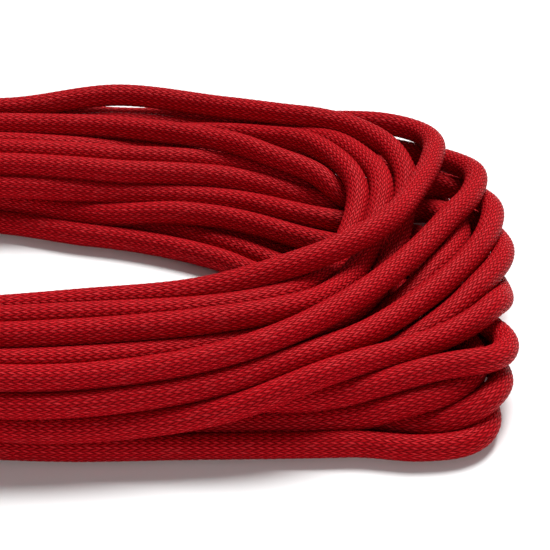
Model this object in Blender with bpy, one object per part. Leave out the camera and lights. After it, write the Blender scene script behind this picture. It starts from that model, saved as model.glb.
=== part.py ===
"""A lead rope laid up as a hank, with a swivel bolt snap on its end.

The hank lies flat with its long side along X. The snap lies outside the hank's left end and points along +Y.
Units are metres. The origin is at the middle of the bounding box's bottom.
"""
import math

import bmesh
import bpy
from mathutils import Matrix, Vector

# Rope and hank
ROPE_R = 0.003
GAP = 0.0003
HALF_LENGTH = 0.136            # half the whole object's length
NEAR_Y, FAR_Y = -0.0651, 0.0670  # the hank's sides; the tie stands proud of the near one
HANK_HEIGHT = 0.028
HANK_LEFT = -0.1035
CORNER_R = 0.040
HOLE_LEFT, HOLE_RIGHT = -0.060, 0.066
HOLE_HALF_WIDTH = 0.033
HOLE_Y = (NEAR_Y + FAR_Y) / 2
STEP = 0.0084                  # how far the outline steps in where an end of the rope comes out
SNAP_END_X = -0.060            # where the end with the snap leaves the near side
TAIL_X = -0.022                # where the tail leaves the far side
EDGE_R = 0.006
TUBE_Z = 0.0042                # height of the rope's middle where it runs on its own

# Hank tie
TIE_X, TIE_WIDTH, TIE_THICK = -0.014, 0.016, 0.0016

# Ferrule, loop and snap, along the snap's own line
LINE_X = -0.12148              # middle of the ferrule, loop and snap
FERRULE_Y0, FERRULE_Y1 = -0.046, -0.035
LEG = 0.0033                   # each leg's middle beside the ferrule's middle
FERRULE_WALL = 0.0011
LOOP_TIP_Y = -0.0050           # middle of the rope at the loop's tip
LOOP_TIP_Z = 0.00735

# Swivel eye
EYE_R, EYE_WIRE_R = 0.0083, 0.0018
ROPE_IN_EYE = 0.0032           # from the eye's middle to the middle of the rope in it
ROPE_IN_EYE_ANGLE = math.radians(60)
TILT = math.radians(6.4)       # the snap's line falls from the eye to the barrel's front end
STEM_R, HEAD_R = 0.0019, 0.0031
HEAD_U0, HEAD_U1 = 0.0147, 0.0164

# Snap, in distance u from the eye's middle
BARREL_R, BORE_R = 0.0055, 0.0038
BARREL_U0, BARREL_U1 = 0.0110, 0.0370
BORE_U0, STEM_HOLE_R = 0.0135, 0.0023
WASHER_U0, WASHER_U1, WASHER_R = 0.0138, 0.0143, 0.0034
SEAT_U0, SEAT_U1, SEAT_R = 0.0168, 0.0176, 0.0034
SPRING_U0, SPRING_U1, SPRING_R, SPRING_WIRE_R, SPRING_TURNS = 0.0183, 0.0214, 0.0027, 0.00028, 4
TRAVEL = 0.010
BOLT_U0, BOLT_SHOULDER_U, BOLT_U1 = 0.0320, 0.0455, 0.0472
BOLT_R, NOSE_R = 0.0034, 0.0022
TIP_U0, TIP_U1, TIP_R = 0.0460, 0.0550, 0.0042
SOCKET_R, SOCKET_U1 = 0.0026, 0.0480
KNOB_U, STUD_R, KNOB_R = 0.0336, 0.0011, 0.0025
SLOT_HALF, SLOT_END = 0.0014, 0.0016
HOOK_R = 0.0027
HOOK_REACH = 0.0145            # how far the hook's arm stands beside the bolt's line
HOOK_U1 = 0.0575               # furthest middle of the hook's arm
BOW_R = 0.0085                 # middle radius of the hook's round end
SEAT_FLAT_U = 0.0551           # flat inside the bow, where a halter's ring pulls
SEAT_FLAT_X0, SEAT_FLAT_X1 = 0.0046, 0.0086
SIDES = 32


def eye_centre():
    """The eye's middle, with the rope's loop lying against the eye's inside."""
    back = ROPE_IN_EYE * math.cos(ROPE_IN_EYE_ANGLE)
    up = ROPE_IN_EYE * math.sin(ROPE_IN_EYE_ANGLE)
    return Vector((LINE_X, LOOP_TIP_Y + back, LOOP_TIP_Z + up))


def material(name, colour, roughness, metallic):
    made = bpy.data.materials.new(name)
    made.use_nodes = True
    shader = made.node_tree.nodes["Principled BSDF"]
    shader.inputs["Base Color"].default_value = (*colour, 1.0)
    shader.inputs["Roughness"].default_value = roughness
    shader.inputs["Metallic"].default_value = metallic
    return made


def add_object(name, data, finish=None, parent=None):
    made = bpy.data.objects.new(name, data)
    bpy.context.scene.collection.objects.link(made)
    if finish:
        data.materials.append(finish)
    made.parent = parent
    return made


def add_mesh(name, bm, finish=None, parent=None, smooth=True):
    bmesh.ops.recalc_face_normals(bm, faces=bm.faces)
    mesh = bpy.data.meshes.new(name)
    bm.to_mesh(mesh)
    bm.free()
    if smooth:
        mesh.shade_smooth()
        mesh.set_sharp_from_angle(angle=math.radians(35))
    return add_object(name, mesh, finish, parent)


def as_cutter(cutter):
    cutter.hide_render = True
    cutter.display_type = "WIRE"
    return cutter


def combine(target, tool, operation):
    """A Boolean of two closed meshes, kept as a modifier on the target."""
    modifier = target.modifiers.new(tool.name, "BOOLEAN")
    modifier.operation = operation
    modifier.solver = "EXACT"
    modifier.object = as_cutter(tool)


def turned(profile, sides=SIDES):
    """A closed solid turned round the local +Y line, from (distance along, radius) points."""
    bm = bmesh.new()
    rings = []
    for along, radius in profile:
        ring = []
        for i in range(sides):
            a = 2 * math.pi * i / sides
            ring.append(bm.verts.new((radius * math.cos(a), along, radius * math.sin(a))))
        rings.append(ring)
    for low, high in zip(rings, rings[1:]):
        for i in range(sides):
            j = (i + 1) % sides
            bm.faces.new((low[i], low[j], high[j], high[i]))
    bm.faces.new(rings[0])
    bm.faces.new(rings[-1])
    return bm


def swept(points, radius, sides, closed=False):
    """A tube of one radius along points, with flat ends unless it is closed."""
    bm = bmesh.new()
    count = len(points)
    rings = []
    side = None
    for i, point in enumerate(points):
        before = points[i - 1] if closed or i else point
        after = points[(i + 1) % count] if closed or i < count - 1 else point
        along = (after - before).normalized()
        if side is None:
            side = along.orthogonal().normalized()
        side = (side - along * side.dot(along)).normalized()
        other = along.cross(side)
        ring = []
        for k in range(sides):
            a = 2 * math.pi * k / sides
            ring.append(bm.verts.new(point + radius * (math.cos(a) * side + math.sin(a) * other)))
        rings.append(ring)
    pairs = list(zip(rings, rings[1:]))
    if closed:
        pairs.append((rings[-1], rings[0]))
    for low, high in pairs:
        for k in range(sides):
            m = (k + 1) % sides
            bm.faces.new((low[k], low[m], high[m], high[k]))
    if not closed:
        bm.faces.new(rings[0])
        bm.faces.new(rings[-1])
    return bm


def arc(cx, cy, radius, start, end, steps):
    """Points on an arc, with its angles in degrees."""
    found = []
    for i in range(steps + 1):
        a = math.radians(start + (end - start) * i / steps)
        found.append((cx + radius * math.cos(a), cy + radius * math.sin(a)))
    return found


def smooth_route(route, spacing):
    """Points a spacing apart on a centripetal Catmull-Rom curve through a route's own points."""
    ends = [2 * route[0] - route[1], *route, 2 * route[-1] - route[-2]]
    dense = []
    for p0, p1, p2, p3 in zip(ends, ends[1:], ends[2:], ends[3:]):
        t1 = (p1 - p0).length ** 0.5
        t2 = t1 + (p2 - p1).length ** 0.5
        t3 = t2 + (p3 - p2).length ** 0.5
        for i in range(24):
            t = t1 + (t2 - t1) * i / 24
            a1 = p0.lerp(p1, t / t1)
            a2 = p1.lerp(p2, (t - t1) / (t2 - t1))
            a3 = p2.lerp(p3, (t - t2) / (t3 - t2))
            b1 = a1.lerp(a2, t / t2)
            b2 = a2.lerp(a3, (t - t1) / (t3 - t1))
            dense.append(b1.lerp(b2, (t - t1) / (t2 - t1)))
    dense.append(route[-1])
    total = sum((b - a).length for a, b in zip(dense, dense[1:]))
    count = max(3, round(total / spacing) + 1)
    found, walked, wanted = [dense[0]], 0.0, total / (count - 1)
    for a, b in zip(dense, dense[1:]):
        step = (b - a).length
        while walked + step >= wanted * len(found) and len(found) < count - 1:
            found.append(a.lerp(b, (wanted * len(found) - walked) / step))
        walked += step
    found.append(dense[-1])
    return found


def rope_tube(name, route, finish):
    """A stretch of rope on its own: a bevelled curve with filled caps."""
    curve = bpy.data.curves.new(name, "CURVE")
    curve.dimensions = "3D"
    curve.bevel_depth = ROPE_R
    curve.bevel_resolution = 3
    curve.use_fill_caps = True
    points = smooth_route([Vector(p) for p in route], 2 * ROPE_R)
    spline = curve.splines.new("POLY")
    spline.points.add(len(points) - 1)
    for target, point in zip(spline.points, points):
        target.co = (*point, 1.0)
    return add_object(name, curve, finish)


def hank_outline():
    """The hank's outer outline, anticlockwise, stepped in along the runs that a rope end lies beside."""
    right, left = HALF_LENGTH, HANK_LEFT
    near, far = NEAR_Y, FAR_Y
    points = [(SNAP_END_X, near + STEP), (SNAP_END_X, near)]
    points += arc(right - CORNER_R, near + CORNER_R, CORNER_R, -90, 0, 10)
    points += arc(right - CORNER_R, far - CORNER_R, CORNER_R, 0, 90, 10)
    points += [(TAIL_X, far), (TAIL_X, far - STEP)]
    points += arc(left + CORNER_R, far - STEP - CORNER_R, CORNER_R, 90, 180, 10)
    points += arc(left + CORNER_R, near + STEP + CORNER_R, CORNER_R, 180, 270, 10)
    return points


def hole_outline():
    """The space in the middle of the hank: two straight sides and two round ends."""
    r = HOLE_HALF_WIDTH
    points = arc(HOLE_RIGHT - r, HOLE_Y, r, -90, 90, 16)
    points += arc(HOLE_LEFT + r, HOLE_Y, r, 90, 270, 16)
    return points


def prism(outline, z0, z1):
    bm = bmesh.new()
    face = bm.faces.new([bm.verts.new((x, y, z0)) for x, y in outline])
    top = bmesh.ops.extrude_face_region(bm, geom=[face])
    moved = [v for v in top["geom"] if isinstance(v, bmesh.types.BMVert)]
    bmesh.ops.translate(bm, verts=moved, vec=(0, 0, z1 - z0))
    return bm


def rounded_block(bm, radius, z_top):
    """Rounds the top rim of a prism."""
    rim = [e for e in bm.edges if all(abs(v.co.z - z_top) < 1e-6 for v in e.verts)]
    bmesh.ops.bevel(bm, geom=rim, offset=radius, offset_type="OFFSET", segments=3, profile=0.5, affect="EDGES")
    return bm


def make_hank(finish):
    hank = add_mesh("rope_hank", rounded_block(prism(hank_outline(), 0, HANK_HEIGHT), EDGE_R, HANK_HEIGHT), finish)
    hole = add_mesh("hole_cutter", prism(hole_outline(), -0.01, HANK_HEIGHT + 0.01))
    combine(hank, hole, "DIFFERENCE")
    low, reach = TIE_THICK + 2 * GAP, TIE_WIDTH / 2 + 0.001
    near, inner = NEAR_Y - 0.01, HOLE_Y - HOLE_HALF_WIDTH + 0.004
    notch = [(TIE_X - reach, near), (TIE_X + reach, near), (TIE_X + reach, inner), (TIE_X - reach, inner)]
    combine(hank, add_mesh("tie_notch_cutter", prism(notch, -0.01, low)), "DIFFERENCE")
    return hank


def make_tie(finish):
    """A flat strap right round the near side of the hank, a little clear of it all round."""
    near, inner = NEAR_Y - GAP, HOLE_Y - HOLE_HALF_WIDTH + GAP
    low, high = TIE_THICK + GAP / 2, HANK_HEIGHT + GAP
    corner = 0.0008
    bm = bmesh.new()
    faces = []
    for grow in (0.0, TIE_THICK):
        y0, y1, z0, z1 = near - grow, inner + grow, low - grow, high + grow
        r = corner + grow
        loop = arc(y1 - r, z0 + r, r, -90, 0, 4) + arc(y1 - r, z1 - r, r, 0, 90, 4)
        loop += arc(y0 + r, z1 - r, r, 90, 180, 4) + arc(y0 + r, z0 + r, r, 180, 270, 4)
        for x in (TIE_X - TIE_WIDTH / 2, TIE_X + TIE_WIDTH / 2):
            faces.append([bm.verts.new((x, y, z)) for y, z in loop])
    in0, in1, out0, out1 = faces
    for a, b in ((in0, in1), (in1, out1), (out1, out0), (out0, in0)):
        for i in range(len(a)):
            j = (i + 1) % len(a)
            bm.faces.new((a[i], a[j], b[j], b[i]))
    return add_mesh("hank_tie", bm, finish)


def snap_end_route():
    """From the near side round the hank's left end, through the ferrule, round the loop and back."""
    near = NEAR_Y + ROPE_R + GAP
    z, x = TUBE_Z, LINE_X
    mid = (FERRULE_Y0 + FERRULE_Y1) / 2
    return [
        (SNAP_END_X - GAP, near, z),
        (-0.0720, near, z),
        (-0.0860, near + 0.0006, z),
        (-0.0990, -0.0600, z),
        (-0.1090, -0.0570, z),
        (-0.1160, -0.0520, z),
        (x + LEG, FERRULE_Y0, z),
        (x + LEG, mid, z),
        (x + LEG, FERRULE_Y1, z),
        (x + 0.0042, -0.0300, z),
        (x + 0.0083, -0.0225, 0.0047),
        (x + 0.01165, -0.0155, 0.0056),
        (x + 0.0100, -0.0108, 0.0062),
        (x + 0.0058, -0.0066, 0.0070),
        (x, LOOP_TIP_Y, LOOP_TIP_Z),
        (x - 0.0058, -0.0066, 0.0070),
        (x - 0.0100, -0.0108, 0.0062),
        (x - 0.01165, -0.0155, 0.0056),
        (x - 0.0083, -0.0225, 0.0047),
        (x - 0.0042, -0.0300, z),
        (x - LEG, FERRULE_Y1, z),
        (x - LEG, mid, z),
        (x - LEG, FERRULE_Y0 - 0.0012, z),
    ]


def tail_route():
    far = FAR_Y - ROPE_R - 0.0007
    return [
        (TAIL_X - GAP, far, TUBE_Z),
        (-0.0340, far, TUBE_Z),
        (-0.0460, far - 0.0003, TUBE_Z),
        (-0.0580, far - 0.0003, TUBE_Z),
        (-0.0700, far - 0.0003, TUBE_Z),
    ]


def make_ferrule(finish):
    """A crimped sleeve with a long rounded section, over both legs of the loop."""
    def outline(grow):
        r = ROPE_R + GAP + grow
        return arc(LINE_X + LEG, TUBE_Z, r, -90, 90, 10) + arc(LINE_X - LEG, TUBE_Z, r, 90, 270, 10)

    bm = bmesh.new()
    loops = []
    for grow in (0.0, FERRULE_WALL - GAP):
        for y in (FERRULE_Y0, FERRULE_Y1):
            loops.append([bm.verts.new((px, y, pz)) for px, pz in outline(grow)])
    in0, in1, out0, out1 = loops
    for a, b in ((in0, in1), (in1, out1), (out1, out0), (out0, in0)):
        for i in range(len(a)):
            j = (i + 1) % len(a)
            bm.faces.new((a[i], a[j], b[j], b[i]))
    return add_mesh("rope_ferrule", bm, finish)


def make_whipping(finish):
    """A band of twine turns round the rope, near its tail end."""
    x0, turns, pitch = -0.0640, 7, 0.0010
    inner, outer = ROPE_R + GAP, ROPE_R + GAP + 0.0006
    far = tail_route()[-1][1]
    profile = []
    for i in range(turns):
        base = x0 + i * pitch
        profile += [(base, outer - 0.0003), (base + pitch / 2, outer)]
    profile.append((x0 + turns * pitch, outer - 0.0003))
    outline = [(x0, inner), *profile, (x0 + turns * pitch, inner)]
    bm = bmesh.new()
    sides = 24
    rings = []
    for along, radius in outline:
        ring = []
        for i in range(sides):
            a = 2 * math.pi * i / sides
            ring.append(bm.verts.new((along, far + radius * math.cos(a), TUBE_Z + radius * math.sin(a))))
        rings.append(ring)
    for low, high in zip(rings, [*rings[1:], rings[0]]):
        for i in range(sides):
            j = (i + 1) % sides
            bm.faces.new((low[i], low[j], high[j], high[i]))
    return add_mesh("tail_whipping", bm, finish)


def cylinder(u0, u1, radius, sides=SIDES, rim=0.0):
    """A cylinder along the snap's line, with its two rims taken off by rim."""
    if not rim:
        return turned([(u0, radius), (u1, radius)], sides)
    return turned([(u0, radius - rim), (u0 + rim, radius), (u1 - rim, radius), (u1, radius - rim)], sides)


def make_eye(line, finish):
    """The ring, its stem and the stem's riveted head."""
    ring_points = []
    for y, z in arc(0, 0, EYE_R, 0, 345, 23):
        ring_points.append(Vector((0, y, z)))
    eye = add_mesh("swivel_eye", swept(ring_points, EYE_WIRE_R, 12, closed=True), finish, line)
    start = EYE_R - 0.0006
    profile = [(start, STEM_R), (HEAD_U0, STEM_R), (HEAD_U0, HEAD_R), (HEAD_U1, HEAD_R), (HEAD_U1 + 0.0001, 0.0016)]
    combine(eye, add_mesh("stem_tool", turned(profile, 24), None, line), "UNION")
    return eye


def hook_points():
    """The middle of the hook's arm: out of the barrel's side, along beside the bolt, and round to the tip."""
    reach, end = HOOK_REACH, HOOK_U1
    inner = end - BOW_R
    points = [(0.0015, 0.0290), (0.0035, 0.0315), (0.0070, 0.0340), (0.0105, 0.0366), (0.0131, 0.0395)]
    points += [(reach, 0.0428), (reach, 0.0455)]
    points += arc(reach - BOW_R, inner, BOW_R, 0, 90, 8)
    points += [(0.0040, end - 0.0003), (0.0018, end - 0.0016), (0.0004, end - 0.0038)]
    return smooth_route([Vector((x, u, 0)) for x, u in points], 0.0016)


def make_snap_body(line, finish):
    """The barrel, bored from its front end, with the hook cast on its side."""
    barrel = turned(
        [
            (BARREL_U0, BARREL_R - 0.0014),
            (BARREL_U0 + 0.0012, BARREL_R - 0.0003),
            (BARREL_U0 + 0.0022, BARREL_R),
            (BARREL_U1 - 0.0008, BARREL_R),
            (BARREL_U1, BARREL_R - 0.0008),
        ]
    )
    body = add_mesh("snap_body", barrel, finish, line)
    combine(body, add_mesh("hook_tool", swept(hook_points(), HOOK_R, 16), None, line), "UNION")
    tip = turned([(TIP_U0, TIP_R - 0.0006), (TIP_U0 + 0.0006, TIP_R), (TIP_U1 - 0.0025, TIP_R), (TIP_U1, 0.0024)])
    combine(body, add_mesh("tip_tool", tip, None, line), "UNION")
    bore = cylinder(BORE_U0, BARREL_U1 + 0.002, BORE_R)
    combine(body, add_mesh("bore_cutter", bore, None, line), "DIFFERENCE")
    hole = cylinder(BARREL_U0 - 0.002, BORE_U0 + 0.001, STEM_HOLE_R, 24)
    combine(body, add_mesh("stem_hole_cutter", hole, None, line), "DIFFERENCE")
    socket = cylinder(TIP_U0 - 0.002, SOCKET_U1, SOCKET_R, 24)
    combine(body, add_mesh("socket_cutter", socket, None, line), "DIFFERENCE")
    u0, u1 = KNOB_U - TRAVEL - SLOT_END, KNOB_U + SLOT_END
    slot = [(-SLOT_HALF, u0), (SLOT_HALF, u0), (SLOT_HALF, u1), (-SLOT_HALF, u1)]
    combine(body, add_mesh("slot_cutter", prism(slot, 0.001, 0.010), None, line), "DIFFERENCE")
    x0, x1, y0, y1 = SEAT_FLAT_X0, SEAT_FLAT_X1, SEAT_FLAT_U - 0.002, SEAT_FLAT_U
    flat = [(x0, y0), (x1, y0), (x1, y1), (x0, y1)]
    combine(body, add_mesh("seat_cutter", prism(flat, -0.005, 0.005), None, line), "DIFFERENCE")
    return body


def make_bolt(line, finish):
    """The sliding bolt, with a nose that enters the hook's tip, and a cross hole for the knob's stud."""
    profile = [
        (BOLT_U0, BOLT_R - 0.0003),
        (BOLT_U0 + 0.0003, BOLT_R),
        (BOLT_SHOULDER_U - 0.0006, BOLT_R),
        (BOLT_SHOULDER_U, NOSE_R + 0.0002),
        (BOLT_U1 - 0.0004, NOSE_R),
        (BOLT_U1, NOSE_R - 0.0005),
    ]
    bolt = add_mesh("snap_bolt", turned(profile), finish, line)
    hole = turned([(-0.0002, STUD_R + GAP), (0.006, STUD_R + GAP)], 16)
    bmesh.ops.rotate(hole, verts=hole.verts, cent=(0, 0, 0), matrix=Matrix.Rotation(math.pi / 2, 3, "X"))
    bmesh.ops.translate(hole, verts=hole.verts, vec=(0, KNOB_U, 0))
    combine(bolt, add_mesh("stud_hole_cutter", hole, None, line), "DIFFERENCE")
    return bolt


def make_knob(line, finish):
    """The stud through the slot and its domed, ridged thumb knob."""
    foot = BARREL_R + GAP + 0.0002
    profile = [
        (0.0003, STUD_R),
        (foot, STUD_R),
        (foot, KNOB_R - 0.0005),
        (foot + 0.0005, KNOB_R),
        (foot + 0.0013, KNOB_R),
        (foot + 0.0021, KNOB_R - 0.0006),
        (foot + 0.0025, KNOB_R - 0.0015),
    ]
    bm = turned(profile, 24)
    bmesh.ops.rotate(bm, verts=bm.verts, cent=(0, 0, 0), matrix=Matrix.Rotation(math.pi / 2, 3, "X"))
    bmesh.ops.translate(bm, verts=bm.verts, vec=(0, KNOB_U, 0))
    return add_mesh("bolt_knob", bm, finish, line)


def make_spring(line, finish):
    """The spring, at the length it has when the bolt is right back."""
    steps = 12
    points = []
    for i in range(SPRING_TURNS * steps + 1):
        a = 2 * math.pi * i / steps
        share = i / (SPRING_TURNS * steps)
        along = SPRING_U0 + (SPRING_U1 - SPRING_U0) * share
        points.append(Vector((SPRING_R * math.cos(a), along, SPRING_R * math.sin(a))))
    return add_mesh("bolt_spring", swept(points, SPRING_WIRE_R, 6), finish, line)


def washer(name, u0, u1, radius, hole_radius, line, finish):
    """A flat ring on the snap's line."""
    bm = bmesh.new()
    sides = 24
    rings = []
    for u, r in ((u0, hole_radius), (u0, radius), (u1, radius), (u1, hole_radius)):
        ring = []
        for i in range(sides):
            a = 2 * math.pi * i / sides
            ring.append(bm.verts.new((r * math.cos(a), u, r * math.sin(a))))
        rings.append(ring)
    for low, high in zip(rings, [*rings[1:], rings[0]]):
        for i in range(sides):
            j = (i + 1) % sides
            bm.faces.new((low[i], low[j], high[j], high[i]))
    return add_mesh(name, bm, finish, line)


def empty(name, parent=None):
    made = bpy.data.objects.new(name, None)
    bpy.context.scene.collection.objects.link(made)
    made.parent = parent
    return made


def main():
    for old in list(bpy.data.objects):
        bpy.data.objects.remove(old, do_unlink=True)
    rope = material("red_braid", (0.46, 0.004, 0.012), 0.62, 0.0)
    strap = material("black_strap", (0.012, 0.012, 0.013), 0.8, 0.0)
    twine = material("red_twine", (0.30, 0.005, 0.010), 0.7, 0.0)
    cast = material("nickel_cast", (0.62, 0.60, 0.57), 0.28, 1.0)
    steel = material("spring_steel", (0.50, 0.50, 0.51), 0.3, 1.0)
    crimp = material("crimp_metal", (0.66, 0.65, 0.63), 0.35, 1.0)

    make_hank(rope)
    make_tie(strap)
    rope_tube("rope_snap_end", snap_end_route(), rope)
    rope_tube("rope_tail", tail_route(), rope)
    make_ferrule(crimp)
    make_whipping(twine)

    swing = empty("eye_swing_axis")
    swing.location = (LINE_X, LOOP_TIP_Y, LOOP_TIP_Z)
    line = empty("snap_line", swing)
    line.location = eye_centre() - swing.location
    line.rotation_euler = (-TILT, 0, 0)
    make_eye(line, cast)
    washer("swivel_washer", WASHER_U0, WASHER_U1, WASHER_R, STEM_HOLE_R, line, steel)
    washer("spring_seat", SEAT_U0, SEAT_U1, SEAT_R, 0.0009, line, steel)
    make_snap_body(line, cast)
    make_spring(line, steel)
    make_bolt(line, cast)
    make_knob(line, cast)


main()
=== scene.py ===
"""The looks of the lead rope: a long braided cord laid up as a hank, with a swivel snap on its end.

The hank's turns are worked out in cord diameters, which the names that end in _D or _d are in too; all
other lengths are in metres.
"""
import itertools
import math
from types import SimpleNamespace

import bpy
import numpy as np
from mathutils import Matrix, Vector


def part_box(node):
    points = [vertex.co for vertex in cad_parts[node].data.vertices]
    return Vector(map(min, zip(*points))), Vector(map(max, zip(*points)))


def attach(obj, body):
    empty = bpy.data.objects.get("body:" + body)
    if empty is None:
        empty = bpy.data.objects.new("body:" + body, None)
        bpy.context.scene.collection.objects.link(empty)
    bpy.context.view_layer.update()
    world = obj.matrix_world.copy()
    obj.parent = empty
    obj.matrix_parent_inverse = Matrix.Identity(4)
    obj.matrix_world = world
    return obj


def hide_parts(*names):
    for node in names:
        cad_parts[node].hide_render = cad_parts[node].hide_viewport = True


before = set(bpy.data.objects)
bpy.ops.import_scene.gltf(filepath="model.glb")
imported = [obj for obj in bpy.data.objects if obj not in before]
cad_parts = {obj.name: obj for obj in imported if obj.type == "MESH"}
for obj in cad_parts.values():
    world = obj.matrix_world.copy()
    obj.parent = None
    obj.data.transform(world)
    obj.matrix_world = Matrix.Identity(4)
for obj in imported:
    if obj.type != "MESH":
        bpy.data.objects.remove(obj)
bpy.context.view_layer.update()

TINY = 1e-6                      # keeps a length that is divided by off zero
CORD = 0.006                     # the cord's diameter
RADIUS_D = 0.5
PITCH_D = 0.33                   # braid stitch length along a column
COLUMNS = 32                     # columns of stitches round the cord, leaning left and right by turns
STRAP_ROOM = 0.0017              # from the strap's outside to the cord in it


# ---------------------------------------------------------------- floor, light and camera

def make_floor():
    half, z = 3.0, -0.0002
    mesh = bpy.data.meshes.new("floor")
    mesh.from_pydata([(-half, -half, z), (half, -half, z), (half, half, z), (-half, half, z)],
                     [], [(0, 1, 2, 3)])
    floor = bpy.data.objects.new("floor", mesh)
    bpy.context.scene.collection.objects.link(floor)
    finish = bpy.data.materials.new("white_floor")
    finish.use_nodes = True
    shader = finish.node_tree.nodes["Principled BSDF"]
    shader.inputs["Base Color"].default_value = (0.93, 0.93, 0.93, 1)
    shader.inputs["Roughness"].default_value = 0.9
    mesh.materials.append(finish)


def make_world():
    world = bpy.data.worlds.new("studio")
    world.use_nodes = True
    background = world.node_tree.nodes["Background"]
    background.inputs["Color"].default_value = (1, 1, 1, 1)
    background.inputs["Strength"].default_value = 0.13
    bpy.context.scene.world = world


def make_light(name, source, target, spread, strength):
    """A soft light from far away, from source towards target, which lights the floor evenly."""
    data = bpy.data.lights.new(name, "SUN")
    data.angle = math.radians(spread)
    data.energy = strength
    light = bpy.data.objects.new(name, data)
    light.location = source
    light.rotation_euler = (Vector(target) - Vector(source)).to_track_quat("-Z", "Y").to_euler()
    bpy.context.scene.collection.objects.link(light)


def make_lights():
    make_light("key", source=(0.20, 0.44, 0.66), target=(0.07, 0, 0), spread=28, strength=4.7)
    make_light("front", source=(0.20, -0.72, 0.34), target=(0.05, 0, 0), spread=28, strength=0.9)


def make_camera():
    """Looks at the hank's right end from in front and above; the left end is outside the picture."""
    elevation, view_angle, sensor = math.radians(35), math.radians(18.2), 36
    distance, aim = 0.438, Vector((0.0734, 0.0073, 0))
    data = bpy.data.cameras.new("camera")
    data.sensor_width = sensor
    data.lens = sensor / (2 * math.tan(view_angle / 2))
    data.clip_start = 0.01
    camera = bpy.data.objects.new("camera", data)
    back = Vector((0, -math.cos(elevation), math.sin(elevation)))
    camera.location = aim + back * distance
    camera.rotation_euler = (-back).to_track_quat("-Z", "Y").to_euler()
    bpy.context.scene.collection.objects.link(camera)
    bpy.context.scene.camera = camera


# ---------------------------------------------------------------- the hank's turns

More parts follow.
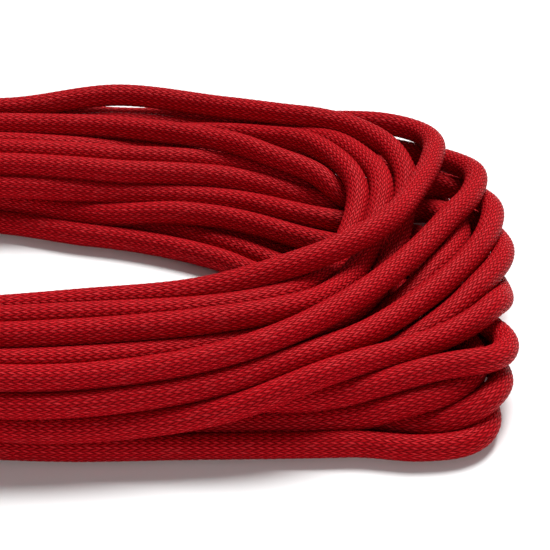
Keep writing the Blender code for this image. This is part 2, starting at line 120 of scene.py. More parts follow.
# Each turn of the hank, in cord diameters. It runs right along the far side, round the right end and
# back along the near side. "far" holds (y, z) where x is 0, 5 and 10; "bend" holds the (x, y, z)
# that shape the right end; "near" holds (y, z) where x is 10, 5 and 0.
LANE_X = (0, 5, 10)
TURNS = {
    "top": dict(
        far=((10.9, 2.2), (11.0, 1.85), (10.6, 2.2)),
        bend=((13.6, 9.6, 2.6), (15.4, 9.2, 2.9), (17.2, 8.6, 3.15), (18.7, 7.7, 3.25), (19.2, 6.2, 3.55),
              (18.9, 4.2, 3.8), (18.1, 1.8, 4.0), (16.9, -1.0, 4.3), (15.0, -3.2, 4.3), (12.6, -4.8, 4.1)),
        near=((-5.6, 3.85), (-6.1, 3.8), (-6.5, 3.7))),
    "fan_outer": dict(
        far=((10.2, 2.85), (11.0, 3.2), (10.0, 2.95)),
        bend=((13.4, 8.4, 3.1), (15.6, 7.5, 3.25), (17.0, 6.0, 3.4), (17.6, 3.9, 3.4), (17.3, 1.6, 3.2),
              (16.7, -1.2, 2.95), (15.8, -3.8, 2.8), (14.2, -5.9, 2.85), (12.0, -7.2, 3.1)),
        near=((-8.0, 3.2), (-9.0, 3.3), (-9.3, 3.4))),
    "fan_middle": dict(
        far=((9.9, 2.1), (10.2, 2.3), (9.7, 2.2)),
        bend=((12.6, 8.5, 2.8), (14.2, 7.8, 3.1), (15.1, 6.9, 3.3), (15.9, 5.7, 3.35), (16.6, 4.0, 3.4),
              (16.7, 2.4, 3.3), (16.3, 0.3, 3.1), (15.8, -2.2, 3.0), (14.6, -4.9, 3.0), (12.6, -6.5, 3.4)),
        near=((-7.3, 3.7), (-8.0, 3.8), (-8.4, 3.8))),
    "fan_inner": dict(
        far=((9.1, 1.9), (9.2, 2.2), (8.8, 2.5)),
        bend=((12.0, 8.0, 2.8), (13.4, 7.1, 3.1), (14.4, 6.0, 3.2), (15.3, 4.4, 3.2), (15.9, 2.7, 3.1),
              (15.9, 1.0, 3.0), (15.4, -1.0, 3.0), (14.6, -3.2, 3.2), (13.0, -5.4, 3.7)),
        near=((-6.5, 3.85), (-7.0, 3.9), (-7.4, 3.9))),
    "outer": dict(
        far=((10.6, 1.3), (10.7, 1.0), (10.6, 1.3)),
        bend=((14.0, 9.7, 1.7), (16.4, 8.8, 1.9), (18.4, 7.5, 2.2), (20.0, 5.8, 2.7), (20.8, 4.0, 3.1),
              (20.4, 2.0, 3.3), (19.2, -0.1, 3.45), (17.6, -2.6, 3.5), (15.4, -5.3, 3.5), (12.8, -7.5, 3.4)),
        near=((-8.8, 3.2), (-9.8, 3.0), (-10.1, 2.9))),
    "sunk": dict(
        far=((8.4, 3.1), (8.3, 3.1), (6.9, 3.1)),
        bend=((12.2, 5.6, 3.0), (13.9, 4.6, 2.8), (15.4, 3.5, 2.2), (17.2, 3.1, 1.9), (18.8, 3.1, 1.9),
              (19.8, 2.4, 2.0), (20.0, 1.0, 2.2), (19.5, -0.7, 2.4), (18.6, -2.2, 2.5), (17.2, -3.8, 2.5),
              (15.3, -5.5, 2.5), (12.8, -6.9, 2.6)),
        near=((-7.4, 2.7), (-7.4, 2.9), (-7.6, 2.9))),
    "shoulder": dict(
        far=((6.6, 2.8), (6.2, 2.7), (6.0, 2.4)),
        bend=((13.9, 4.9, 2.0), (17.0, 5.2, 1.8), (19.2, 5.2, 2.0), (20.7, 4.0, 2.2), (21.3, 2.1, 2.5),
              (20.9, -0.1, 2.8), (19.7, -2.4, 2.95), (17.9, -4.7, 2.95), (15.6, -6.9, 2.85),
              (12.8, -8.5, 2.75)),
        near=((-9.5, 2.6), (-10.4, 2.3), (-10.7, 2.1))),
    "shoulder_under": dict(
        far=((5.8, 2.6), (5.3, 2.2), (5.4, 2.2)),
        bend=((13.9, 4.0, 2.2), (16.6, 4.0, 1.4), (19.4, 3.6, 1.6), (21.0, 2.3, 1.8), (21.6, 0.2, 2.0),
              (21.3, -1.9, 2.1), (20.2, -4.0, 2.2), (18.6, -5.8, 2.2), (16.1, -7.6, 2.1), (13.0, -8.4, 2.15)),
        near=((-8.8, 2.1), (-8.6, 2.3), (-8.7, 2.4))),
    "side": dict(
        far=((5.2, 1.9), (4.9, 1.6), (4.2, 1.6)),
        bend=((13.9, 2.6, 1.9), (17.0, 2.3, 1.7), (19.5, 1.0, 1.8), (20.8, -0.8, 1.8), (21.0, -2.7, 1.9),
              (20.4, -4.7, 2.2), (18.8, -6.3, 2.2), (16.0, -8.1, 2.1), (13.0, -9.3, 1.8)),
        near=((-10.1, 1.6), (-10.7, 1.5), (-10.8, 1.3))),
    "side_low": dict(
        far=((5.5, 1.2), (4.5, 1.2), (3.8, 1.2)),
        bend=((13.7, 1.7, 1.3), (16.4, 0.2, 1.5), (18.5, -2.0, 1.9), (20.7, -4.4, 2.1), (21.7, -6.3, 2.0),
              (20.7, -7.9, 2.1), (18.1, -8.5, 2.0), (13.9, -9.3, 1.5)),
        near=((-9.3, 1.5), (-9.5, 1.7), (-9.6, 1.7))),
    "low": dict(
        far=((7.5, 2.7), (7.4, 2.3), (7.6, 2.0)),
        bend=((12.2, 7.4, 2.0), (13.8, 7.5, 2.0), (15.5, 7.3, 1.9), (17.1, 7.0, 1.9), (18.5, 6.5, 1.6),
              (19.4, 5.5, 1.1), (19.8, 3.8, 0.9), (19.8, 1.4, 1.1), (19.7, -1.4, 1.2), (19.7, -4.4, 1.5),
              (20.1, -7.0, 1.9), (19.3, -8.6, 1.9), (17.0, -9.2, 1.6), (14.0, -9.2, 1.3)),
        near=((-9.4, 1.2), (-9.7, 1.0), (-9.8, 0.9))),
    "core_a": dict(
        far=((6.6, 1.3), (5.5, 1.3), (3.6, 0.8)),
        bend=((13.1, 1.7, 0.8), (15.7, 0.5, 0.8), (17.6, -1.4, 0.8), (17.9, -3.9, 0.9), (16.7, -6.3, 0.9),
              (14.0, -7.6, 1.0)),
        near=((-8.0, 1.2), (-7.7, 1.4), (-7.7, 1.4))),
    "core_b": dict(
        far=((6.0, 0.5), (4.9, 0.5), (2.7, 0.6)),
        bend=((12.2, 1.2, 0.6), (14.5, -0.2, 0.6), (15.8, -2.1, 0.5), (15.8, -4.4, 0.5), (14.6, -6.2, 0.5),
              (12.6, -7.3, 0.5)),
        near=((-7.6, 0.5), (-7.1, 0.5), (-7.0, 0.5))),
    "core_c": dict(
        far=((7.6, 1.7), (6.7, 1.8), (5.6, 1.4)),
        bend=((13.5, 3.6, 1.4), (16.0, 1.8, 1.4), (17.4, -0.6, 1.6), (17.2, -3.0, 1.9), (15.8, -4.8, 2.3),
              (14.0, -5.7, 2.5)),
        near=((-6.4, 2.75), (-6.4, 2.7), (-6.5, 2.6))),
    "inner": dict(
        far=((4.9, 0.5), (3.9, 0.5), (1.9, 0.5)),
        bend=((11.3, 1.0, 0.5), (13.3, -0.5, 0.5), (14.5, -2.5, 0.5), (14.0, -4.7, 0.6), (12.4, -5.9, 0.8)),
        near=((-6.3, 1.0), (-6.1, 1.0), (-6.1, 1.0))),
    "tail_turn": dict(
        far=((10.5, 0.6), (10.3, 0.5), (9.9, 0.5)),
        bend=((13.8, 9.6, 0.6), (15.8, 9.4, 0.9), (17.5, 9.0, 1.1), (18.9, 8.0, 1.2), (20.0, 6.7, 1.4),
              (20.7, 4.8, 0.9), (20.9, 2.4, 0.8), (20.9, -0.2, 0.7), (20.7, -3.0, 0.6), (20.6, -5.7, 0.9),
              (20.8, -8.0, 1.2), (20.1, -9.4, 1.3), (18.2, -9.8, 1.2), (15.0, -9.1, 0.8), (12.5, -8.8, 0.6)),
        near=((-8.8, 0.5), (-8.9, 0.5), (-8.8, 0.5))),
    "snap_turn": dict(
        far=((8.4, 0.6), (7.3, 0.6), (5.8, 0.5)),
        bend=((13.5, 5.0, 0.5), (16.6, 4.0, 0.5), (18.6, 1.6, 0.5), (19.3, -1.4, 0.5), (19.7, -4.4, 0.5),
              (20.6, -7.0, 0.5), (21.0, -8.9, 0.5), (20.1, -10.2, 0.5), (17.9, -10.4, 0.5),
              (14.8, -9.8, 0.5)),
        near=((-10.0, 0.5), (-10.4, 0.5), (-10.4, 0.6))),
}
FAR_INNER_Y, NEAR_INNER_Y = 4.6, -5.3   # about the edges of the hank's opening
LEFT_JOIN_X = -5.0               # where a turn's two sides go over into its left end
LEFT_CENTRE_X = -8.2             # the middle of the left end's half rings
LEFT_DEPTH = 0.84                # a half ring's depth, over half its width
TIGHTEST_D = 2.3                 # the settling eases the bends that are tighter than this

# How easily the cord's points give way as the hank settles. The loose turns run inside or under the pile
# for much of their way; the others stay close to their points.
LOOSE_TURNS = ("core_a", "core_b", "core_c", "inner", "snap_turn")
LOOSE, LEFT_END, CLOSE, HELD = 1.0, 0.7, 0.3, 0.0


def to_cords(points):
    return [tuple(c / CORD for c in point) for point in points]


def tail_route():
    """The free end, outside the hank's far side: from its very end to where it joins the hank."""
    y, z = 0.0633, 0.0042
    back = [(-0.0223, y, z), (-0.0340, y, z), (-0.0460, y - 0.0003, z), (-0.0580, y - 0.0003, z),
            (-0.0700, y - 0.0003, z)]
    return to_cords(reversed(back))


def snap_end_route():
    """The end with the snap: out of the hank's near side, into the ferrule, round the loop and back."""
    x, y, z, leg = -0.12148, -0.0618, 0.0042, 0.0033
    return to_cords([
        (-0.0603, y, z), (-0.0720, y, z), (-0.0860, y + 0.0006, z), (-0.0990, -0.0600, z),
        (-0.1090, -0.0570, z), (-0.1160, -0.0520, z), (x + leg, -0.0460, z), (x + leg, -0.0405, z),
        (x + leg, -0.0350, z), (x + 0.0042, -0.0300, z), (x + 0.0083, -0.0225, 0.0047),
        (x + 0.01165, -0.0155, 0.0056), (x + 0.0100, -0.0108, 0.0062), (x + 0.0058, -0.0066, 0.0070),
        (x, -0.0050, 0.00735), (x - 0.0058, -0.0066, 0.0070), (x - 0.0100, -0.0108, 0.0062),
        (x - 0.01165, -0.0155, 0.0056), (x - 0.0083, -0.0225, 0.0047),
        (x - 0.0042, -0.0300, z), (x - leg, -0.0350, z), (x - leg, -0.0405, z), (x - leg, -0.0472, z)])


def turn_order():
    """The order the turns are wound in: each next turn starts about as far out as the last one ended."""
    height_weight = 0.8
    order, left = ["tail_turn"], [n for n in TURNS if n not in ("tail_turn", "snap_turn")]
    while left:
        near_y, near_z = TURNS[order[-1]]["near"][2]
        reach = NEAR_INNER_Y - near_y

        def misfit(name):
            far_y, far_z = TURNS[name]["far"][0]
            return abs(far_y - FAR_INNER_Y - reach) + height_weight * abs(far_z - near_z)
        best = min(left, key=misfit)
        order.append(best)
        left.remove(best)
    return order + ["snap_turn"]


def left_end(start, end):
    """Half a turn round the hank's left end, from a near lane to a far lane, both (y, z)."""
    middle, half = (start[0] + end[0]) / 2, (end[0] - start[0]) / 2
    points = [(LEFT_JOIN_X, start[0], start[1])]
    for degrees in (-68, -40, -14, 14, 40, 68):
        a = math.radians(degrees)
        share = (math.sin(a) + 1) / 2
        points.append((LEFT_CENTRE_X - LEFT_DEPTH * half * math.cos(a), middle + half * math.sin(a),
                       start[1] + (end[1] - start[1]) * share))
    return points + [(LEFT_JOIN_X, end[0], end[1])]


def route():
    """The whole cord's points, and how easily each gives way."""
    points, free = [], []

    def add(more, freedom):
        points.extend(more)
        free.extend([freedom] * len(more))
    add(tail_route(), HELD)
    order = turn_order()
    for last, name in zip([None] + order, order):
        turn = TURNS[name]
        freedom = LOOSE if name in LOOSE_TURNS else CLOSE
        if last:
            add(left_end(TURNS[last]["near"][2], turn["far"][0]), LEFT_END)
        add([(x, *lane) for x, lane in zip(LANE_X, turn["far"])], freedom)
        add(turn["bend"], freedom)
        add([(x, *lane) for x, lane in zip(reversed(LANE_X), turn["near"])], freedom)
    add([(LEFT_JOIN_X, -10.35, 0.65)], CLOSE)
    add(snap_end_route(), HELD)
    return np.array(points, float), np.array(free, float)


def spline(points, values, spacing):
    """Points at an even spacing along a centripetal Catmull-Rom curve, with values carried along."""
    per_span = 24
    data = np.column_stack([points, values])
    padded = np.vstack([2 * data[0] - data[1], data, 2 * data[-1] - data[-2]])
    steps = np.sqrt(np.linalg.norm(np.diff(padded[:, :3], axis=0), axis=1)).clip(TINY)
    dense = []
    for i in range(1, len(padded) - 2):
        p0, p1, p2, p3 = padded[i - 1:i + 3]
        d0, d1, d2 = steps[i - 1:i + 2]
        m1 = (p2 - p1) / d1 - (p2 - p0) / (d0 + d1) + (p1 - p0) / d0
        m2 = (p3 - p2) / d2 - (p3 - p1) / (d1 + d2) + (p2 - p1) / d1
        t = np.linspace(0, 1, per_span, endpoint=False)[:, None]
        dense.append((2 * t**3 - 3 * t**2 + 1) * p1 + (t**3 - 2 * t**2 + t) * m1 * d1
                     + (3 * t**2 - 2 * t**3) * p2 + (t**3 - t**2) * m2 * d1)
    dense = np.vstack(dense + [padded[-2:-1]])
    along = np.concatenate([[0], np.cumsum(np.linalg.norm(np.diff(dense[:, :3], axis=0), axis=1))])
    at = np.linspace(0, along[-1], int(round(along[-1] / spacing)) + 1)
    even = np.column_stack([np.interp(at, along, dense[:, k]) for k in range(dense.shape[1])])
    return even[:, :3], even[:, 3:]


def smoothed(values, passes):
    for _ in range(passes):
        values[1:-1] = 0.25 * values[:-2] + 0.5 * values[1:-1] + 0.25 * values[2:]
    return values


def close_pairs(points, reach, apart):
    """Index pairs of points nearer than reach, and more than apart steps from each other along the cord."""
    cell = np.floor(points / reach).astype(np.int64)
    cell -= cell.min(axis=0) - 1
    size = cell.max(axis=0) + 2
    key = (cell[:, 0] * size[1] + cell[:, 1]) * size[2] + cell[:, 2]
    order = np.argsort(key, kind="stable")
    ordered = key[order]
    found = []
    for dx, dy, dz in itertools.product((-1, 0, 1), repeat=3):
        other = key + (dx * size[1] + dy) * size[2] + dz
        first = np.searchsorted(ordered, other, "left")
        count = np.searchsorted(ordered, other, "right") - first
        for k in range(int(count.max())):
            has = np.nonzero(count > k)[0]
            match = order[first[has] + k]
            keep = match > has + apart
            found.append(np.column_stack([has[keep], match[keep]]))
    pairs = np.vstack(found)
    near = np.linalg.norm(points[pairs[:, 0]] - points[pairs[:, 1]], axis=1) < reach
    return pairs[near]


def squeeze(points):
    """Gathers the near bundle into the strap's inside, with a smooth run in on both sides, and keeps the
    whole cord above the floor."""
    flare, widest = 0.09, 2.5    # how the room grows past the strap, and where the strap's hold ends
    low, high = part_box("hank_tie")
    past = np.abs(points[:, 0] - (low[0] + high[0]) / 2 / CORD) - (high[0] - low[0]) / 2 / CORD
    room = np.where(past > 0, flare * past ** 2, 0)
    held = (points[:, 1] < 0) & (room < widest)
    wall = STRAP_ROOM / CORD + RADIUS_D
    for axis in (1, 2):
        least, most = low[axis] / CORD + wall - room[held], high[axis] / CORD - wall + room[held]
        points[held, axis] = points[held, axis].clip(least, most)
    points[:, 2] = np.maximum(points[:, 2], RADIUS_D)


def ease_bends(points):
    """How far each point moves where the cord is bent more tightly than TIGHTEST_D."""
    reach, give = 2, 0.3         # points looked at on each side, and how much of the excess is given way
    ahead, behind = points[2 * reach:], points[:-2 * reach]
    pull = ahead + behind - 2 * points[reach:-reach]
    most = np.linalg.norm(ahead - behind, axis=1) ** 2 / 4 / TIGHTEST_D
    over = 1 - most / np.linalg.norm(pull, axis=1).clip(TINY)
    move = np.zeros_like(points)
    move[reach:-reach] = give * pull * over.clip(0)[:, None]
    return move


def push_apart(points, pairs, free):
    """How far each point moves where strands are less than a diameter apart; the freer one moves more."""
    a, b = pairs[:, 0], pairs[:, 1]
    gap = points[a] - points[b]
    length = np.linalg.norm(gap, axis=1).clip(TINY)
    hit = length < 1.0
    a, b, push = a[hit], b[hit], (gap * ((1.0 - length) / length)[:, None])[hit]
    share = free[a] / np.maximum(free[a] + free[b], TINY)
    move, count = np.zeros_like(points), np.zeros(len(points))
    for side, part in ((a, share), (b, share - 1)):
        for axis in range(3):
            move[:, axis] += np.bincount(side, part * push[:, axis], len(points))
        count += np.bincount(side, minlength=len(points))
    return move / np.maximum(count, 1)[:, None]


def settle(design, free, spacing, rounds):
    """Moves the turns apart where they cut each other or the floor, keeping each strand smooth."""
    search_every, search_reach, own_length = 12, 1.35, 2.2
    overdo = 1.5                 # each push is a little more than the gap asks for
    recall, recall_until = 0.985, 0.7   # the points are drawn back to their design for most of the rounds
    gentle_rounds = 8            # the last rounds smooth less
    held = (free <= 0).reshape(-1, 1)
    points = design.copy()
    for i in range(rounds):
        if i % search_every == 0:
            pairs = close_pairs(points, search_reach, int(own_length / spacing))
        points += push_apart(points, pairs, free) * overdo + ease_bends(points)
        squeeze(points)
        shift = smoothed(points - design, 2 if i < rounds - gentle_rounds else 1)
        if i < rounds * recall_until:
            shift *= recall
        points = np.where(held, design, design + shift)
    return points


def centreline():
    spacing_d, rounds = 0.4, 160
    design, free = spline(*route(), spacing_d)
    return settle(design, free.ravel().clip(0, 1), spacing_d, rounds) * CORD


# ---------------------------------------------------------------- node materials

class Nodes:
    """Short ways to add and link shader nodes in one material."""

    def __init__(self, name):
        self.material = bpy.data.materials.new(name)
        self.material.use_nodes = True
        self.tree = self.material.node_tree
        self.shader = self.tree.nodes["Principled BSDF"]

    def put(self, socket, value):
        if isinstance(value, bpy.types.NodeSocket):
            self.tree.links.new(value, socket)
        else:
            socket.default_value = value

    def add(self, kind, out=0, settings=None, **inputs):
        """Adds a node. An input goes by its name, or by its place: i0, i1 and so on."""
        node = self.tree.nodes.new(kind)
        for key, value in (settings or {}).items():
            setattr(node, key, value)
        for key, value in inputs.items():
            self.put(node.inputs[int(key[1:])] if key[1:].isdigit() else node.inputs[key], value)
        return node.outputs[out]

    def math(self, operation, a, b=0.0, c=0.0):
        return self.add("ShaderNodeMath", settings={"operation": operation}, i0=a, i1=b, i2=c)

    def mix(self, factor, a, b):
        node = self.tree.nodes.new("ShaderNodeMix")
        node.data_type = "RGBA"
        self.put(node.inputs["Factor"], factor)
        self.put(node.inputs["A"], a)
        self.put(node.inputs["B"], b)
        return node.outputs["Result"]

    def noise(self, scale, detail, vector):
        return self.add("ShaderNodeTexNoise", Scale=scale, Detail=detail, Vector=vector)

    def bump(self, height, distance, normal=None):
        inputs = {"Height": height, "Distance": distance}
        if normal is not None:
            inputs["Normal"] = normal
        return self.add("ShaderNodeBump", **inputs)

    def place(self):
        return self.add("ShaderNodeNewGeometry")

    def set(self, **inputs):
        for key, value in inputs.items():
            self.put(self.shader.inputs[key.replace("_", " ")], value)


def braid_place(n):
    """Where a point is in the braid: its column and row of floats, and how far it is from the middle of
    its float, across the column and along it. Floats of odd columns lean one way, the others the other."""
    slant = 0.58                 # stitches that a float runs on along the cord as it crosses its column
    uv = n.add("ShaderNodeUVMap", settings={"uv_map": "braid"})
    split = n.tree.nodes.new("ShaderNodeSeparateXYZ")
    n.put(split.inputs[0], uv)
    position = n.math("MULTIPLY", split.outputs[0], COLUMNS)
    column = n.math("FLOOR", n.math("ADD", position, 0.5))
    across = n.math("SUBTRACT", position, column)
    odd = n.math("MODULO", column, 2.0)
    lean = n.math("MULTIPLY_ADD", odd, 2.0, -1.0)
    stitch = n.math("ADD", n.math("MULTIPLY_ADD", odd, 0.5, split.outputs[1]),
                    n.math("MULTIPLY", n.math("MULTIPLY", across, lean), slant))
    row = n.math("FLOOR", stitch)
    along = n.math("SUBTRACT", n.math("SUBTRACT", stitch, row), 0.5)
    return SimpleNamespace(column=column, row=row, across=across, along=along, odd=odd, lean=lean,
                           stitch=stitch)


def float_height(n, at):
    """A float's height from 0 to 1: a rounded yarn whose ends dip under its neighbours."""
    fullness, end_scale, end_power = 0.8, 1.72, 3.0
    rounded = n.math("COSINE", n.math("MULTIPLY", at.along, math.pi))
    rounded = n.math("POWER", n.math("MAXIMUM", rounded, 0.0), fullness)
    dip = n.math("POWER", n.math("ABSOLUTE", n.math("MULTIPLY", at.across, end_scale)), end_power)
    return n.math("MAXIMUM", n.math("SUBTRACT", rounded, dip), 0.0)


def float_normal(n, at):
    """The braid's relief: the surface leans away from a float's middle line and from its two ends."""
    roundness, arch = 0.72, 0.30
    yarn_u, yarn_v = 0.89, 0.456   # the direction across a float
    least_up_squared = 0.05
    lean_out = n.math("MULTIPLY", at.along, 2 * roundness)
    u = n.math("ADD", n.math("MULTIPLY", n.math("MULTIPLY", lean_out, at.lean), yarn_u),
               n.math("MULTIPLY", at.across, 2 * arch))
    v = n.math("MULTIPLY", lean_out, yarn_v)
    square = n.math("ADD", n.math("MULTIPLY", u, u), n.math("MULTIPLY", v, v))
    up = n.math("SQRT", n.math("MAXIMUM", n.math("SUBTRACT", 1.0, square), least_up_squared))
    as_colour = {f"i{k}": n.math("MULTIPLY_ADD", part, 0.5, 0.5) for k, part in enumerate((u, v, up))}
    return n.add("ShaderNodeNormalMap", settings={"uv_map": "braid"},
                 Color=n.add("ShaderNodeCombineXYZ", **as_colour))


def braid_material():
    """A fine braided polyester cover: slanted floats in columns, which lean left and right by turns."""
    dark, light = (0.37, 0.0003, 0.0034, 1), (0.52, 0.0009, 0.0068, 1)
    # the last colour on the next line is a painted shade for the low ground between the floats
    # the second colour on the next line is a painted highlight for the floats' tops
    worn, painted_highlight, painted_gap_shade = (0.78, 0.07, 0.08, 1), (0.80, 0.024, 0.034, 1), (0.150, 0.0002, 0.0015, 1)
    n = Nodes("red_braid_cover")
    at = braid_place(n)
    height = float_height(n, at)
    # the yarn's own fibres run along the float
    fibre_place = n.add("ShaderNodeCombineXYZ", i0=n.math("MULTIPLY", at.stitch, 9.0),
                        i1=n.math("MULTIPLY", at.across, 1.6), i2=at.column)
    fibres = n.noise(1.0, 1.0, fibre_place)
    # each float is its own shade, and the whole cord varies slowly
    own = n.add("ShaderNodeTexWhiteNoise", Vector=n.add("ShaderNodeCombineXYZ", i0=at.column, i1=at.row))
    slow = n.noise(34.0, 2.0, n.place())
    shade = n.add("ShaderNodeMapRange", i0=n.math("MULTIPLY_ADD", own, 0.5, n.math("MULTIPLY", slow, 0.9)),
                  i1=0.2, i2=1.1, i3=0.0, i4=1.0)
    # a few floats are worn pale
    wear = n.math("MULTIPLY", n.math("GREATER_THAN", own, 0.92), n.math("MULTIPLY", fibres, 0.3))
    colour = n.mix(wear, n.mix(shade, dark, light), worn)
    # painted highlight: the tops of the floats are painted lighter, and much more so where they lean one way
    # than the other, as where the light catches the floats of one lean
    painted_highlight_share = n.math("MULTIPLY", n.math("POWER", height, 5.0), n.math("MULTIPLY_ADD", at.odd, -0.60, 0.68))
    colour = n.mix(painted_highlight_share, colour, painted_highlight)
    # painted shade: the low ground between the floats is darkened towards a deep red, where shade falls
    # between the yarns
    colour = n.mix(n.math("POWER", height, 0.9), painted_gap_shade, colour)
    roughness = n.math("ADD", n.math("MULTIPLY", fibres, 0.16), n.math("MULTIPLY_ADD", height, -0.45, 0.75))
    n.set(Base_Color=colour, Roughness=roughness, Specular_IOR_Level=0.05,
          Sheen_Weight=0.02, Sheen_Roughness=0.5, Sheen_Tint=(1.0, 0.06, 0.08, 1))
    n.set(Normal=n.bump(fibres, 0.00005, float_normal(n, at)))
    return n.material


# ---------------------------------------------------------------- the cord's mesh

def across_cord(line):
    """Two directions across the cord at each of its points, which don't twist round it."""
    along = np.gradient(line, axis=0)
    along /= np.linalg.norm(along, axis=1)[:, None]
    side = np.empty_like(line)
    start = np.cross(along[0], (0, 0, 1))
    side[0] = start / np.linalg.norm(start)
    for i in range(1, len(line)):
        turned = side[i - 1] - along[i] * np.dot(side[i - 1], along[i])
        side[i] = turned / np.linalg.norm(turned)
    return side, np.cross(along, side)


def slow_waves(count, spacing_d, seed, wave_d):
    """A smooth random value from -1 to 1 along the cord, about one swing in wave_d diameters."""
    random = np.random.default_rng(seed)
    knots = random.uniform(-1, 1, int(count * spacing_d / wave_d) + 4)
    at = np.linspace(0.01, len(knots) - 2, count)
    low = np.floor(at).astype(int)
    t = at - low
    t = t * t * (3 - 2 * t)
    return knots[low] * (1 - t) + knots[low + 1] * t


def cord_surface(line):
    """The cord's centreline, and rings of points round it: one point on every column of stitches, and two
    rings to a stitch, so that each float stands out from the surface."""
    spacing_d, lowest = PITCH_D / 2, 0.00005
    wander, steady = 0.9, 0.02   # the twist: how far it wanders, and how much it turns in a diameter
    base, float_rise, flattening = 0.975, 0.030, 0.045   # as shares of the cord's radius
    end_round_d, end_least = 0.3, 0.02   # how far the two ends' rounding reaches, and where it is cut off
    centres, _ = spline(line, np.zeros(len(line)), spacing_d * CORD)
    side, up = across_cord(centres)
    count = len(centres)
    twist = wander * slow_waves(count, spacing_d, seed=3, wave_d=40) + steady * np.arange(count) * spacing_d
    angle = np.linspace(0, 2 * math.pi, COLUMNS, endpoint=False)[None, :] + twist[:, None]
    parity = (np.arange(count)[:, None] + np.arange(COLUMNS)[None, :]) % 2
    oval = flattening * slow_waves(count, spacing_d, seed=5, wave_d=14)[:, None]
    oval = oval * np.cos(2 * angle - 2 * twist[:, None])
    radius = CORD / 2 * (base + float_rise * parity + oval)
    from_end = np.minimum(np.arange(count), np.arange(count)[::-1]) * spacing_d / end_round_d
    radius *= np.sqrt(1 - (1 - from_end.clip(end_least, 1)) ** 2)[:, None]
    outward = np.cos(angle)[..., None] * side[:, None, :] + np.sin(angle)[..., None] * up[:, None, :]
    points = centres[:, None, :] + outward * radius[..., None]
    points[..., 2] = np.maximum(points[..., 2], lowest)
    return centres, points


def cord_mesh(points):
    """A closed tube through rings of points, with the braid's UV: u goes round it once, and v grows by
    one in a stitch."""
    count = len(points)
    ring = np.arange(count - 1)[:, None]
    i, j = ring * COLUMNS, np.arange(COLUMNS)[None, :]
    k = (j + 1) % COLUMNS
    quads = np.stack([i + j, i + k, i + COLUMNS + k, i + COLUMNS + j], -1).reshape(-1, 4)
    last = (count - 1) * COLUMNS
    caps = [list(range(COLUMNS))[::-1], list(range(last, last + COLUMNS))]
    loops = np.concatenate([quads.ravel(), *caps]).astype(np.int32)
    starts = np.concatenate([np.arange(0, quads.size, 4), [quads.size, quads.size + COLUMNS]])
    mesh = bpy.data.meshes.new("lead_rope")
    mesh.vertices.add(count * COLUMNS)
    mesh.vertices.foreach_set("co", points.astype(np.float32).ravel())
    mesh.loops.add(len(loops))
    mesh.loops.foreach_set("vertex_index", loops)
    mesh.polygons.add(len(starts))
    mesh.polygons.foreach_set("loop_start", starts.astype(np.int32))
    u = np.broadcast_to(np.stack([j, j + 1, j + 1, j], -1), (count - 1, COLUMNS, 4)) / COLUMNS
    v = np.broadcast_to(np.stack([ring, ring, ring + 1, ring + 1], -1), (count - 1, COLUMNS, 4)) * 0.5
    braid = np.vstack([np.stack([u, v], -1).reshape(-1, 2), np.zeros((2 * COLUMNS, 2))])
    mesh.uv_layers.new(name="braid").data.foreach_set("uv", braid.astype(np.float32).ravel())
    mesh.update(calc_edges=True)
    mesh.shade_smooth()
    return mesh


def make_cord(line, finish):
    centres, points = cord_surface(line)
    rope = bpy.data.objects.new("lead_rope", cord_mesh(points))
    bpy.context.scene.collection.objects.link(rope)
    rope.data.materials.append(finish)
    return rope, centres


# ---------------------------------------------------------------- what is on the cord

def grid_mesh(name, rows, finish, closed=False):
    """A skin over closed rows of points. The rows run round, or the first and last ones are capped."""
    n, m = len(rows), len(rows[0])
    faces = []
    for i in range(n if closed else n - 1):
        for j in range(m):
            i2, j2 = (i + 1) % n, (j + 1) % m
            faces.append((i * m + j, i * m + j2, i2 * m + j2, i2 * m + j))
    if not closed:
        faces += [tuple(range(m))[::-1], tuple(range((n - 1) * m, n * m))]
    mesh = bpy.data.meshes.new(name)
    mesh.from_pydata([tuple(p) for row in rows for p in row], [], faces)
    mesh.shade_smooth()
    mesh.materials.append(finish)
    made = bpy.data.objects.new(name, mesh)
    bpy.context.scene.collection.objects.link(made)
    return made


def rounded_rectangle(y0, y1, z0, z1, radius, spacing):
    """Evenly spaced (y, z) points with their outward directions, round a rectangle with round corners,
    from the middle of its top, and the way round's length."""
    steps = 8
    corners = [(y0 + radius, z1 - radius, 90), (y0 + radius, z0 + radius, 180),
               (y1 - radius, z0 + radius, 270), (y1 - radius, z1 - radius, 0)]
    path = [((y0 + y1) / 2, z1, 0.0, 1.0)]
    for cy, cz, start in corners:
        for k in range(steps + 1):
            a = math.radians(start + 90 * k / steps)
            path.append((cy + radius * math.cos(a), cz + radius * math.sin(a), math.cos(a), math.sin(a)))
    path.append(path[0])
    path = np.array(path)
    along = np.concatenate([[0], np.cumsum(np.linalg.norm(np.diff(path[:, :2], axis=0), axis=1))])
    at = np.arange(0, along[-1], spacing)
    return np.column_stack([np.interp(at, along, path[:, k]) for k in range(4)]), along[-1]


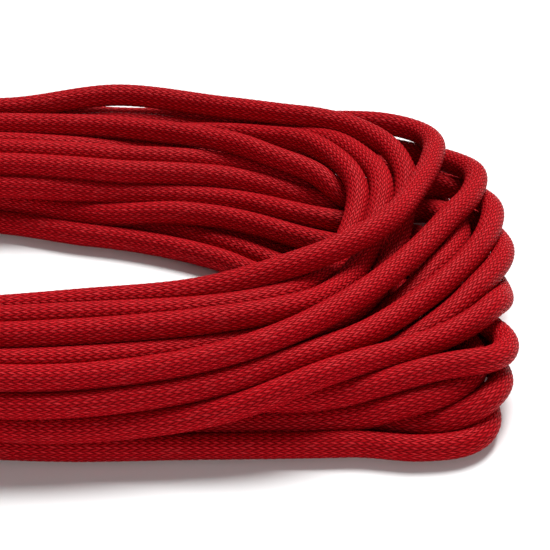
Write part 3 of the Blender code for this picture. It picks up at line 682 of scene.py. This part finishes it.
def make_strap(finish):
    """A hook-and-loop strap: one strip round the near bundle, whose end lies over its start."""
    low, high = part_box("hank_tie")
    thick, corner, spacing = 0.0015, 0.0030, 0.0005
    overlap, lift, ramp = 0.021, 0.00165, 0.007   # the end's length over the start, its lift, its way up
    tip_slope, tip_part = 0.0006, 0.3   # the overlap's last part rises this much in an overlap's length
    tip_round = 0.0035
    ridge_height, ridge_step, ridged_part = 0.00012, 0.0011, 0.9
    points, side_power, face_power = 28, 0.28, 0.6   # the strip's cross-section
    narrower = 0.0002            # than the plain strap, at each side
    middle, half = (low[0] + high[0]) / 2, (high[0] - low[0]) / 2 - narrower
    loop, around = rounded_rectangle(low[1] + thick / 2, high[1] - thick / 2, low[2] + thick / 2,
                                     high[2] - thick / 2, corner, spacing)
    end = around + overlap
    rows = []
    for i in range(int(end / spacing)):
        s = i * spacing
        y, z, ny, nz = loop[i % len(loop)]
        size = math.hypot(ny, nz)
        over = max(0.0, min(1.0, (s - around + ramp) / ramp))
        tip = max(0.0, (s - around - overlap * (1 - tip_part)) / overlap)
        out = lift * over * over * (3 - 2 * over) + tip_slope * tip
        from_end = min(s, end - s - spacing)
        narrow = half - tip_round * (1 - min(1.0, from_end / tip_round)) ** 2
        ridge = ridge_height * math.sin(s / ridge_step)
        row = []
        for k in range(points):
            a = 2 * math.pi * k / points
            wide = math.copysign(abs(math.cos(a)) ** side_power, math.cos(a))
            tall = math.copysign(abs(math.sin(a)) ** face_power, math.sin(a))
            n = out + tall * (thick / 2 + (ridge if abs(wide) < ridged_part else 0))
            row.append((middle + wide * narrow, y + n * ny / size, z + n * nz / size))
        rows.append(row)
    strap = grid_mesh("hook_and_loop_strap", rows, finish)
    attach(strap, "root")
    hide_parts("hank_tie")


def make_ferrule(finish):
    """A crimped sleeve over both legs of the loop, with rolled rims and two pressed grooves."""
    low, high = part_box("rope_ferrule")
    middle, centre, radius = (low[0] + high[0]) / 2, (low[2] + high[2]) / 2, (high[2] - low[2]) / 2
    leg, length = (high[0] - low[0]) / 2 - radius, high[1] - low[1]
    rim, rim_steps, inner, inner_edge = 0.00045, 6, CORD / 2 + 0.00012, 0.0002
    groove_places, groove_width, groove_depth = (0.30, 0.70), 0.0010, 0.00042
    barrel_steps, half_round_steps = 30, 16
    profile = []
    for k in range(rim_steps + 1):
        a = math.pi / 2 * k / rim_steps
        profile.append((rim - rim * math.cos(a), radius - rim + rim * math.sin(a)))
    for k in range(1, barrel_steps):
        y = rim + (length - 2 * rim) * k / barrel_steps
        groove = sum(math.exp(-((y - length * place) / groove_width) ** 2) for place in groove_places)
        profile.append((y, radius - groove_depth * groove))
    profile += [(length - y, r) for y, r in reversed(profile[:rim_steps + 1])]
    profile += [(length - inner_edge, inner), (inner_edge, inner)]
    rows = []
    for y, r in profile:
        row = []
        for side, start in ((1, -90), (-1, 90)):
            for k in range(half_round_steps + 1):
                a = math.radians(start + 180 * k / half_round_steps)
                row.append((middle + side * leg + r * math.cos(a), low[1] + y, centre + r * math.sin(a)))
        rows.append(row)
    ferrule = grid_mesh("crimped_ferrule", rows, finish, closed=True)
    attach(ferrule, "root")
    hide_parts("rope_ferrule")
    return ferrule


def make_whipping(finish):
    """Twine bound round the tail in close turns, with both its ends tucked under."""
    low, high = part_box("tail_whipping")
    twine, turns, turn_steps, points = 0.00042, 8, 40, 10
    clear, sunk, rise, tuck_rate = 0.00018, 0.8, 1.7, 5   # the tucked ends lie sunk, the turns rise off
    ply_depth, ply_turn = 0.10, 0.9
    centre_y, centre_z = (low[1] + high[1]) / 2, (low[2] + high[2]) / 2
    run = high[0] - low[0] - 2 * twine
    steps = turns * turn_steps
    rows = []
    for i in range(steps + 1):
        t = i / steps
        a = 2 * math.pi * turns * t
        tuck = min(1.0, min(t, 1 - t) * turns * tuck_rate)
        r = CORD / 2 + clear + twine * (tuck * rise - sunk)
        outward = Vector((0, math.cos(a), math.sin(a)))
        centre = Vector((low[0] + twine + run * t, centre_y, centre_z)) + outward * r
        row = []
        for k in range(points):
            b = 2 * math.pi * k / points
            strand = 1 + ply_depth * math.cos(3 * b + i * ply_turn)
            row.append(centre + (outward * math.cos(b) + Vector((1, 0, 0)) * math.sin(b)) * twine * strand)
        rows.append(row)
    whipping = grid_mesh("twine_whipping", rows, finish)
    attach(whipping, "root")
    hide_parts("tail_whipping")
    return whipping


def strap_material():
    n = Nodes("black_loop_fabric")
    place = n.place()
    pile = n.noise(2600.0, 3.0, place)
    weave = n.add("ShaderNodeTexVoronoi", Scale=1500.0, Vector=place)
    patches = n.noise(160.0, 2.0, place)
    fading = n.math("MULTIPLY", n.math("GREATER_THAN", patches, 0.58), 0.25)
    colour = n.mix(pile, (0.006, 0.006, 0.007, 1), (0.045, 0.044, 0.046, 1))
    colour = n.mix(fading, colour, (0.09, 0.085, 0.085, 1))
    n.set(Base_Color=colour, Roughness=n.math("MULTIPLY_ADD", patches, 0.2, 0.72), Specular_IOR_Level=0.25,
          Sheen_Weight=0.5, Sheen_Roughness=0.35, Sheen_Tint=(0.5, 0.5, 0.52, 1))
    n.set(Normal=n.bump(weave, 0.00025, n.bump(pile, 0.0002)))
    return n.material


def twine_material():
    n = Nodes("waxed_red_twine")
    ply = n.noise(2100.0, 2.0, n.place())
    colour = n.mix(ply, (0.10, 0.0008, 0.002, 1), (0.36, 0.006, 0.012, 1))
    n.set(Base_Color=colour, Roughness=n.math("MULTIPLY_ADD", ply, 0.25, 0.38), Specular_IOR_Level=0.35)
    n.set(Normal=n.bump(ply, 0.00008))
    return n.material


def metal_material(name, colour, dull, roughness, spread, scratch_scale):
    """Plated or bare metal: cloudy roughness, fine scratches and duller patches where it is handled."""
    n = Nodes(name)
    place = n.place()
    cloud = n.noise(220.0, 4.0, place)
    stretched = n.add("ShaderNodeMapping", Vector=place,
                      Scale=(scratch_scale, scratch_scale * 0.05, scratch_scale))
    scratches = n.noise(1.0, 3.0, stretched)
    pits = n.noise(1900.0, 1.0, place)
    handled = n.math("MULTIPLY", n.math("GREATER_THAN", cloud, 0.56), 0.45)
    n.set(Base_Color=n.mix(handled, (*colour, 1), (*dull, 1)), Metallic=1.0,
          Roughness=n.math("ADD", n.math("MULTIPLY_ADD", cloud, spread, roughness - spread / 2),
                           n.math("MULTIPLY", n.math("GREATER_THAN", scratches, 0.66), 0.12)))
    n.set(Normal=n.bump(scratches, 0.000012, n.bump(pits, 0.00001)))
    return n.material


def ferrule_material():
    return metal_material("pressed_aluminium", (0.45, 0.455, 0.46), (0.33, 0.33, 0.34),
                          roughness=0.34, spread=0.2, scratch_scale=1200.0)


def finish_snap():
    nickel = metal_material("cast_nickel_plate", (0.46, 0.45, 0.42), (0.30, 0.29, 0.27),
                            roughness=0.22, spread=0.22, scratch_scale=900.0)
    steel = metal_material("spring_steel", (0.52, 0.52, 0.53), (0.30, 0.30, 0.31),
                           roughness=0.34, spread=0.2, scratch_scale=1500.0)
    finishes = {"swivel_eye": nickel, "snap_body": nickel, "snap_bolt": nickel, "bolt_knob": nickel,
                "swivel_washer": steel, "spring_seat": steel, "bolt_spring": steel}
    for node, finish in finishes.items():
        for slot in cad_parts[node].material_slots:
            slot.material = finish


bpy.context.scene.view_settings.view_transform = "Standard"
make_floor()
make_world()
make_lights()
make_camera()

rope, path = make_cord(centreline(), braid_material())
make_strap(strap_material())
ferrule = make_ferrule(ferrule_material())
whipping = make_whipping(twine_material())
finish_snap()

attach(rope, "root")
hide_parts("rope_hank", "rope_snap_end", "rope_tail")
